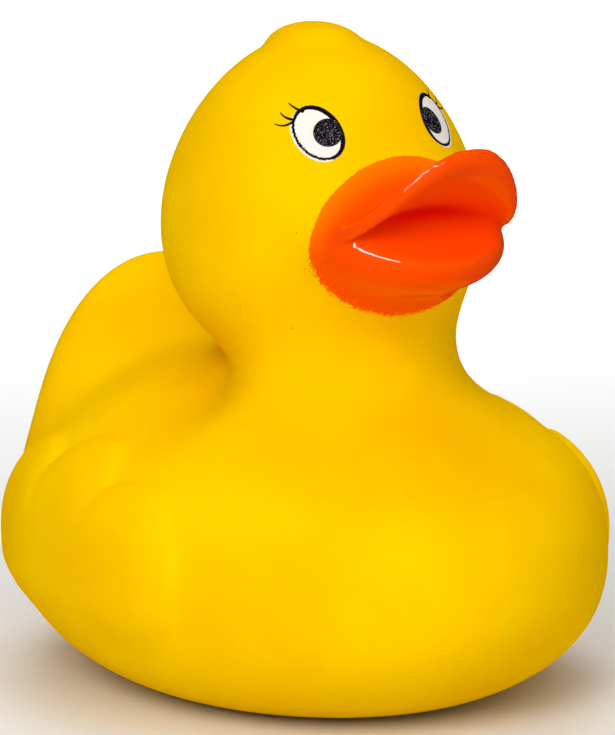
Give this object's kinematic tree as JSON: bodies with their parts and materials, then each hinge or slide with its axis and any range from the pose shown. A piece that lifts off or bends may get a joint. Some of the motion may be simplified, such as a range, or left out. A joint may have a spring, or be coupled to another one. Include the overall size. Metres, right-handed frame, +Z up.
{
  "type": "rubber duck",
  "caption": "Hollow soft-vinyl bath duck with raised wings, upturned tail and open bill, standing on a flat base with a push-in squeaker.",
  "frame": {"origin": "middle of the duck's footprint box, on the surface it stands on", "axes": "+Z up, the bill points along -Y, the tail is at +Y, +X is the duck's left"},
  "size_m": [0.0738, 0.0857, 0.083],
  "materials": {
    "painted_vinyl": "soft satin yellow vinyl, the bill sprayed glossy orange, the eyes printed in white and black",
    "white_plastic": "plain moulded plastic",
    "grey_plastic": "plain moulded plastic",
    "clear_film": "thin springy film"
  },
  "bodies": {
    "root": {"duck_shell": "painted_vinyl", "squeaker_housing": "white_plastic", "squeaker_reed_seat": "grey_plastic", "squeaker_reed": "clear_film"}
  },
  "joints": []
}
